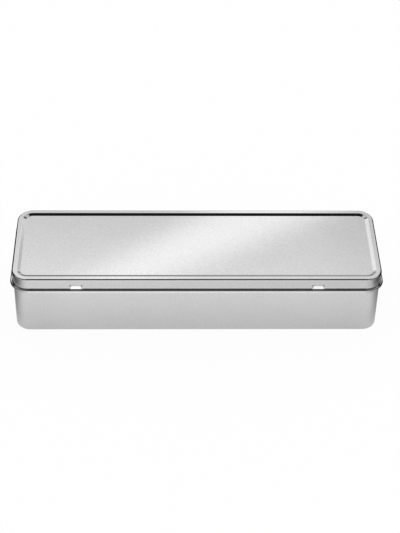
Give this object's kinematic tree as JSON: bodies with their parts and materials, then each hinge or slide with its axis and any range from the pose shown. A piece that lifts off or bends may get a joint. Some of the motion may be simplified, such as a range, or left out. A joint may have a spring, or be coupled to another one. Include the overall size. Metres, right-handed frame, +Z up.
{
  "type": "hinged pencil tin",
  "caption": "Flat rectangular tinplate box with rounded corners and a hinged slip-over lid, for a row of coloured pencils or other small art and sewing things.",
  "frame": {"origin": "middle of the footprint, on the surface that the tin stands on", "axes": "+X along the tin's length, +Y towards the hinges at the back, +Z up"},
  "size_m": [0.1982, 0.0614, 0.0365],
  "materials": {
    "base_tinplate": "satin tinplate",
    "lid_tinplate": "satin tinplate",
    "hinge_wire": "drawn wire"
  },
  "bodies": {
    "base_body": {"base_tray": "base_tinplate"},
    "lid_body": {"lid": "lid_tinplate", "hinge_pin_left": "hinge_wire", "hinge_pin_right": "hinge_wire"}
  },
  "joints": [
    {"name": "lid_hinge", "type": "hinge", "parent": "base_body", "child": "lid_body", "pos_m": [0, 0.03002, 0.02923], "axis": [-1, 0, 0], "range_deg": [0, 190]}
  ]
}
